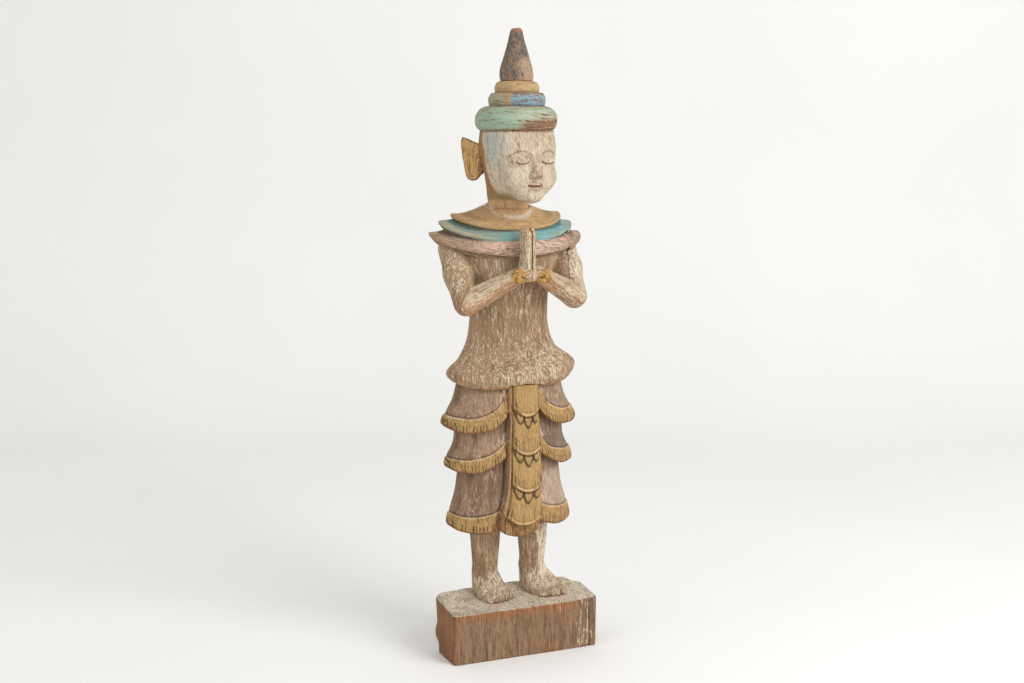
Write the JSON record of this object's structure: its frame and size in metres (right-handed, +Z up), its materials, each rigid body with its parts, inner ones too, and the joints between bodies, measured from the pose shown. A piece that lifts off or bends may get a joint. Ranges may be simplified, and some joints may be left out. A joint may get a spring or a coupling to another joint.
{
  "type": "carved standing figure",
  "caption": "Carved and painted wooden attendant figure standing on a block plinth, palms pressed together, with a tiered skirt, layered collar and pointed crown.",
  "frame": {"origin": "centre of the plinth's underside", "axes": "+Z up, the figure faces -Y, its left side is +X"},
  "size_m": [0.1828, 0.0911, 0.701],
  "materials": {
    "plinth_wood": "weathered grey-brown timber, whitewashed on top",
    "leg_wood": "grey-brown timber with worn cream paint",
    "skirt_paint": "worn taupe paint with ochre borders",
    "tunic_wood": "bare fine-grained timber with traces of cream paint and painted collar",
    "arm_wood": "bare timber with traces of cream paint",
    "face_paint": "worn cream paint",
    "ear_paint": "ochre paint, scratched",
    "crown_paint": "worn green, blue and ochre paint",
    "spire_wood": "dark scorched timber",
    "dowel_wood": "plain turned hardwood",
    "nail_iron": "rusty iron"
  },
  "bodies": {
    "root": {"plinth": "plinth_wood", "right_leg": "leg_wood", "left_leg": "leg_wood", "leg_pegs": "dowel_wood", "skirt_block": "skirt_paint", "waist_dowels": "dowel_wood", "bust_block": "tunic_wood", "left_shoulder_cheek": "tunic_wood", "cheek_dowels": "dowel_wood", "left_forearm": "arm_wood", "right_forearm": "arm_wood", "elbow_pegs": "dowel_wood", "neck_dowel": "dowel_wood", "head": "face_paint", "left_ear": "ear_paint", "right_ear": "ear_paint", "ear_nails": "nail_iron", "crown_dowel": "dowel_wood", "crown_rings": "crown_paint", "crown_spire": "spire_wood"}
  },
  "joints": []
}
